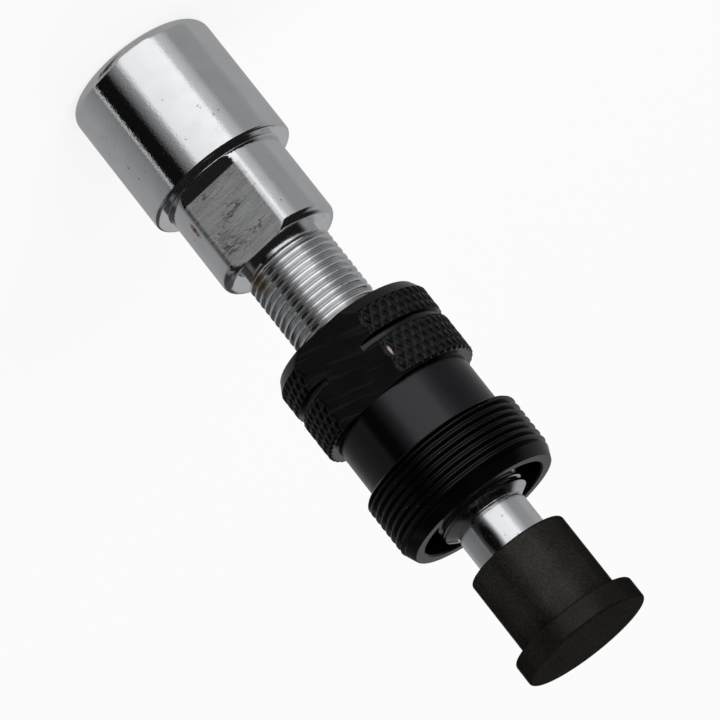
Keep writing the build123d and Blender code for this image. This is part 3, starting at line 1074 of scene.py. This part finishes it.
def add_world():
    """White for the camera, the studio for mirror rays and a soft light for the rest."""
    world = bpy.data.worlds.new("studio")
    bpy.context.scene.world = world
    world.use_nodes = True
    nodes = Nodes(world.node_tree)

    # Parts of a direction: towards the camera, to the picture's left, and up
    turned = nodes.node("ShaderNodeVectorRotate", rotation_type="Z_AXIS")
    turned.inputs["Angle"].default_value = TURN / 4 - CAMERA_AZIMUTH
    nodes.feed(turned.inputs["Vector"], nodes.node("ShaderNodeTexCoord").outputs["Generated"])
    parts = nodes.node("ShaderNodeSeparateXYZ")
    nodes.feed(parts.inputs["Vector"], turned.outputs["Vector"])
    front, left, up = (parts.outputs[axis] for axis in "XYZ")

    # Cards round the tool
    around = nodes.math("ARCTAN2", nodes.times(left, -1.0), front)
    ramp = nodes.node("ShaderNodeValToRGB")
    nodes.feed(ramp.inputs["Fac"], nodes.math("ADD", nodes.math("DIVIDE", around, TURN), 0.5))
    stops = ramp.color_ramp.elements
    while len(stops) < len(STUDIO):
        stops.new(0.5)
    for stop, (angle, level) in zip(stops, STUDIO):
        stop.position = angle / 360 + 0.5
        stop.color = [tint * level for tint in STUDIO_TINT] + [1]
    cards = ramp.outputs["Color"]

    # A darker strip at the left, a dark corner behind it, and a paler wall straight behind the tool
    strip = nodes.times(nodes.remap(up, -0.36, -0.20), nodes.remap(left, 0.55, 0.9))
    mirrored = nodes.mix(nodes.times(strip, STRIP_SHARE), cards, BLACK)
    corner = nodes.times(nodes.remap(left, 0.08, 0.22), nodes.remap(front, -0.2, -0.4))
    corner = nodes.times(corner, nodes.times(nodes.remap(up, -0.2, -0.08), nodes.remap(up, 0.62, 0.50)))
    mirrored = nodes.mix(nodes.times(corner, CORNER_SHARE), mirrored, BLACK)
    behind = nodes.times(nodes.remap(front, -0.88, -0.94), nodes.remap(up, 0.24, 0.29))
    mirrored = nodes.mix(behind, mirrored, WALL)

    # The ceiling is dark, and over the camera the dark comes lower
    lower = nodes.times(nodes.remap(up, -0.05, 0.12), nodes.remap(front, -0.25, 0.1))
    mirrored = nodes.mix(nodes.most(lower, nodes.remap(up, 0.45, 0.7)), mirrored, CEILING)

    # The table is an even grey with shade below the dark card. Bright cards reach lower.
    shade = nodes.times(nodes.remap(cards, 0.20, 0.05), nodes.remap(up, -0.60, -0.70))
    table = nodes.mix(shade, TABLE, TABLE_SHADE)
    reach = nodes.math("ADD", up, nodes.times(cards, CARD_REACH))
    mirrored = nodes.mix(nodes.remap(reach, -0.38, -0.52), mirrored, table)

    path = nodes.node("ShaderNodeLightPath")
    seen = nodes.mix(path.outputs["Is Glossy Ray"], SOFT_LIGHT, mirrored)
    direct = nodes.most(path.outputs["Is Camera Ray"], path.outputs["Is Transmission Ray"])
    background = nodes.tree.nodes["Background"]
    nodes.feed(background.inputs["Color"], nodes.mix(direct, seen, WHITE))
    background.inputs["Strength"].default_value = 1.0


# Lamps aim at this height on the axis, in millimetres, and have this width in metres.
LAMP_AIM_HEIGHT = 45
LAMP_SIZE = 0.5


def add_lamp(name, direction, distance, power):
    data = bpy.data.lights.new(name, "AREA")
    data.shape = "DISK"
    data.size = LAMP_SIZE
    data.energy = power
    lamp = bpy.data.objects.new(name, data)
    aim = Vector((0, 0, LAMP_AIM_HEIGHT * MM))
    lamp.location = aim + Vector(direction).normalized() * distance
    lamp.rotation_euler = (lamp.location - aim).to_track_quat("Z", "Y").to_euler()
    lamp.visible_glossy = False
    lamp.visible_camera = False
    bpy.context.scene.collection.objects.link(lamp)


# Floor: radius in metres, distance below the tool in millimetres, and the glow's share for the camera
FLOOR_RADIUS = 2.5
FLOOR_CORNERS = 96
FLOOR_DROP = 0.02
FLOOR_COLOUR = (0.86, 0.86, 0.86, 1)
FLOOR_GLOW = 0.80


def add_floor():
    """A pale floor that glows white to the camera, so that only a soft shadow stays on it."""
    angles = even_angles(FLOOR_CORNERS)
    rim = [(FLOOR_RADIUS * math.cos(a), FLOOR_RADIUS * math.sin(a), -FLOOR_DROP * MM) for a in angles]
    mesh = bpy.data.meshes.new("floor")
    mesh.from_pydata(rim, [], [tuple(range(len(rim)))])
    floor = bpy.data.objects.new("floor", mesh)
    bpy.context.scene.collection.objects.link(floor)
    material = bpy.data.materials.new("floor")
    material.use_nodes = True
    nodes = Nodes(material.node_tree)
    shader = nodes.tree.nodes["Principled BSDF"]
    shader.inputs["Base Color"].default_value = FLOOR_COLOUR
    shader.inputs["Roughness"].default_value = 0.8
    shader.inputs["Specular IOR Level"].default_value = 0.1
    path = nodes.node("ShaderNodeLightPath")
    mixed = nodes.node("ShaderNodeMixShader")
    nodes.feed(mixed.inputs[0], nodes.times(path.outputs["Is Camera Ray"], FLOOR_GLOW))
    nodes.feed(mixed.inputs[1], shader.outputs[0])
    nodes.feed(mixed.inputs[2], nodes.node("ShaderNodeEmission").outputs[0])
    nodes.feed(nodes.tree.nodes["Material Output"].inputs["Surface"], mixed.outputs[0])
    mesh.materials.append(material)
    floor.visible_glossy = False


dress(build_spindle(), chrome_finish(), "spindle", "spindle")
dress(build_body(), black_finish(), "puller_body", "puller_body")
dress(build_cap(), oxide_finish(), "pusher_cap", "cap")
dress(build_ring(), rubber_finish(), "retaining_ring", "swivel_ring")

add_camera()
add_world()
add_floor()
add_lamp("key_lamp", direction=(-0.7, -0.9, 0.9), distance=0.8, power=3.0)
add_lamp("fill_lamp", direction=(0.9, -0.5, 0.7), distance=0.9, power=1.6)
add_lamp("back_lamp", direction=(0.2, 1.0, 0.9), distance=0.9, power=1.6)
bpy.context.scene.view_settings.view_transform = "Standard"
